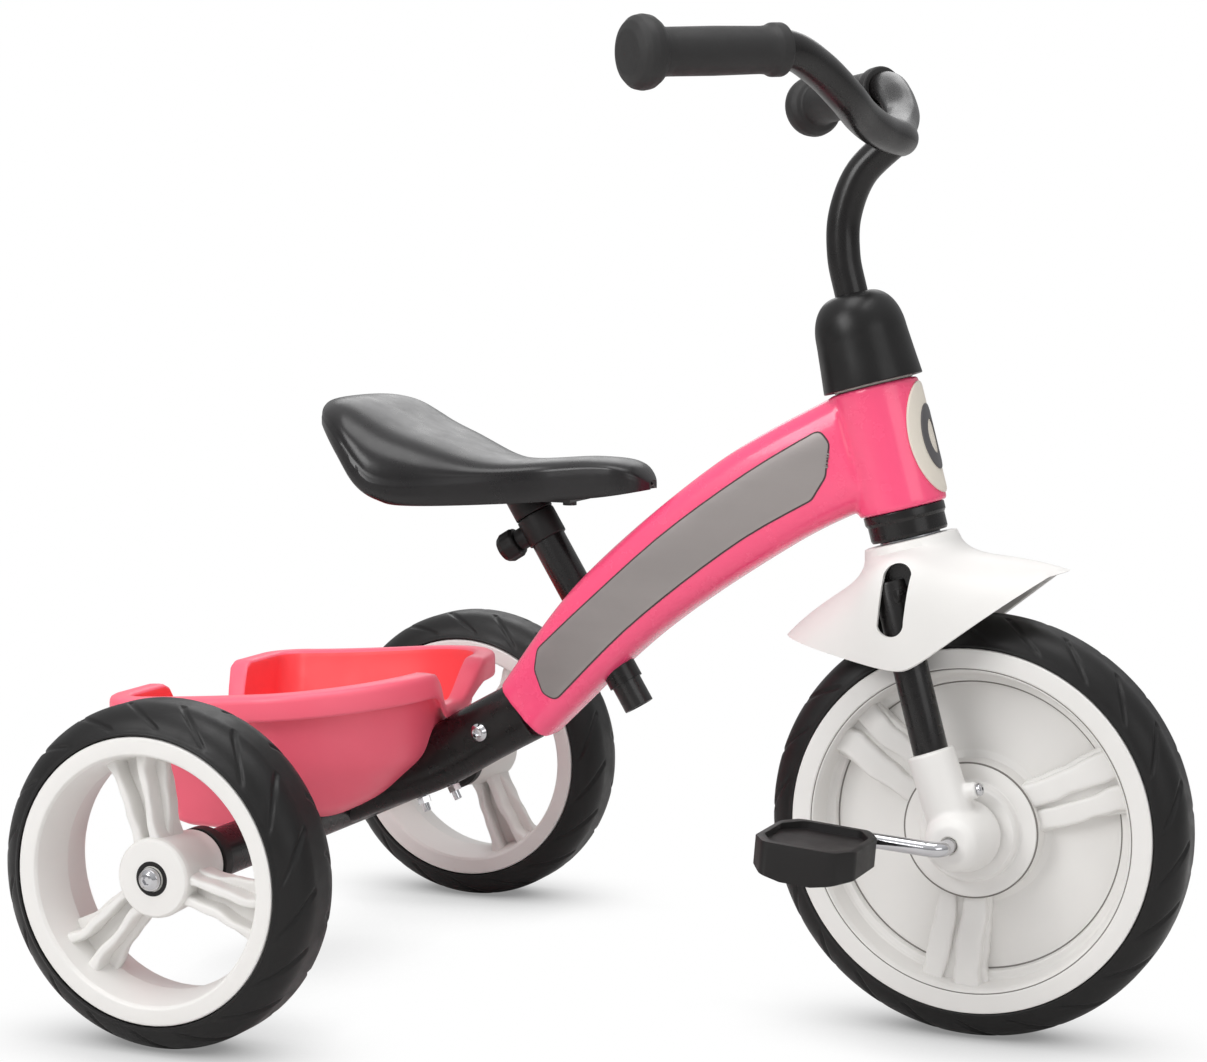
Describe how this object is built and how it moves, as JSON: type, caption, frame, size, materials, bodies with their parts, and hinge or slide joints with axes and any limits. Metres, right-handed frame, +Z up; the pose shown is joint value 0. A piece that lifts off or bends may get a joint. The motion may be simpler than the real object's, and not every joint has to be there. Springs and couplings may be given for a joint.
{
  "type": "children's tricycle",
  "caption": "Children's tricycle with a curved beam frame, raked front fork with fender, pedals on the front wheel, height-adjustable saddle and an open rear basket.",
  "frame": {"origin": "on the ground under the middle of the tricycle's bounding box", "axes": "+X forwards, +Y to the rider's left, +Z up"},
  "size_m": [0.6724, 0.481, 0.5945],
  "materials": {
    "pink_gloss": "smooth gloss, saturated pink",
    "silver_panel": "fine brushed, satin",
    "badge_cream": "satin, moulded",
    "badge_grey": "satin, moulded",
    "black_gloss": "black powder coat, semi-gloss",
    "black_satin_plastic": "black, satin, fine moulded grain",
    "black_gloss_plastic": "black, glossy sides and satin top",
    "post_black": "black, semi-gloss",
    "coral_plastic": "satin coral pink, slightly translucent",
    "white_plastic": "off-white, satin",
    "tyre_black": "black, smooth sidewalls, slanted tread grooves",
    "grip_rubber": "matte dark grey-black",
    "chrome": "bright plated",
    "zinc_steel": "zinc-plated",
    "nylon": "natural nylon, matt"
  },
  "bodies": {
    "frame": {"main_frame": "pink_gloss", "side_panel_left": "silver_panel", "side_panel_right": "silver_panel", "head_badge": "badge_cream", "badge_emblem": "badge_grey", "lower_head_cup": "black_satin_plastic", "upper_head_bush": "nylon", "rear_spine": "black_gloss", "spine_bolt": "chrome", "spine_nut": "chrome", "rear_axle_tube": "black_gloss", "rear_axle_rod": "zinc_steel", "axle_collar_left": "black_satin_plastic", "axle_collar_right": "black_satin_plastic", "axle_cap_nut_left": "chrome", "axle_cap_nut_right": "chrome", "seat_tube": "black_gloss", "seat_clamp": "black_satin_plastic", "basket": "coral_plastic", "basket_bolt_front": "chrome", "basket_bolt_rear": "chrome", "basket_nut_front": "chrome", "basket_nut_rear": "chrome"},
    "steering": {"steerer": "zinc_steel", "headset_nut": "zinc_steel", "fork_crown": "black_gloss", "fork_leg_left": "black_gloss", "fork_leg_right": "black_gloss", "front_fender": "white_plastic", "axle_housing_left": "white_plastic", "axle_housing_right": "white_plastic", "housing_screw_left": "chrome", "housing_screw_right": "chrome", "axle_bush_left": "nylon", "axle_bush_right": "nylon", "headset_cap": "black_satin_plastic", "stem": "black_gloss", "handlebar_tube": "black_gloss", "grip_left": "grip_rubber", "grip_right": "grip_rubber"},
    "front_wheel": {"front_tyre": "tyre_black", "front_rim": "white_plastic", "crank_axle": "chrome"},
    "pedal_left": {"pedal_left": "black_satin_plastic"},
    "pedal_right": {"pedal_right": "black_satin_plastic"},
    "rear_wheel_left": {"rear_tyre_left": "tyre_black", "rear_rim_left": "white_plastic", "wheel_bush_outer_left": "nylon", "wheel_bush_inner_left": "nylon"},
    "rear_wheel_right": {"rear_tyre_right": "tyre_black", "rear_rim_right": "white_plastic", "wheel_bush_outer_right": "nylon", "wheel_bush_inner_right": "nylon"},
    "seat": {"saddle": "black_gloss_plastic", "seat_plate": "zinc_steel", "seat_bracket": "black_satin_plastic", "seat_post": "post_black", "saddle_screw_front": "zinc_steel", "saddle_screw_rear": "zinc_steel"},
    "seat_knob": {"seat_knob": "black_satin_plastic"}
  },
  "joints": [
    {"name": "steering_turn", "type": "hinge", "parent": "frame", "child": "steering", "pos_m": [0.2049, 0, 0.127], "axis": [-0.2554, 0, 0.9668], "range_deg": [-45, 45]},
    {"name": "front_wheel_spin", "type": "hinge", "parent": "steering", "child": "front_wheel", "pos_m": [0.2049, 0, 0.127], "axis": [0, 1, 0], "continuous": true},
    {"name": "pedal_right_spin", "type": "hinge", "parent": "front_wheel", "child": "pedal_right", "pos_m": [0.14505, -0.13, 0.13118], "axis": [0, 1, 0], "continuous": true},
    {"name": "pedal_left_spin", "type": "hinge", "parent": "front_wheel", "child": "pedal_left", "pos_m": [0.26475, 0.13, 0.12281], "axis": [0, 1, 0], "continuous": true},
    {"name": "rear_wheel_left_spin", "type": "hinge", "parent": "frame", "child": "rear_wheel_left", "pos_m": [-0.2285, 0.2132, 0.1034], "axis": [0, 1, 0], "continuous": true},
    {"name": "rear_wheel_right_spin", "type": "hinge", "parent": "frame", "child": "rear_wheel_right", "pos_m": [-0.2285, -0.2132, 0.1034], "axis": [0, 1, 0], "continuous": true},
    {"name": "seat_height", "type": "slide", "parent": "frame", "child": "seat", "axis": [-0.518, 0, 0.8554], "range_m": [0, 0.045]},
    {"name": "seat_knob_turn", "type": "hinge", "parent": "frame", "child": "seat_knob", "pos_m": [-0.08191, 0, 0.29403], "axis": [-0.8554, 0, -0.518], "range_deg": [0, 720]}
  ]
}
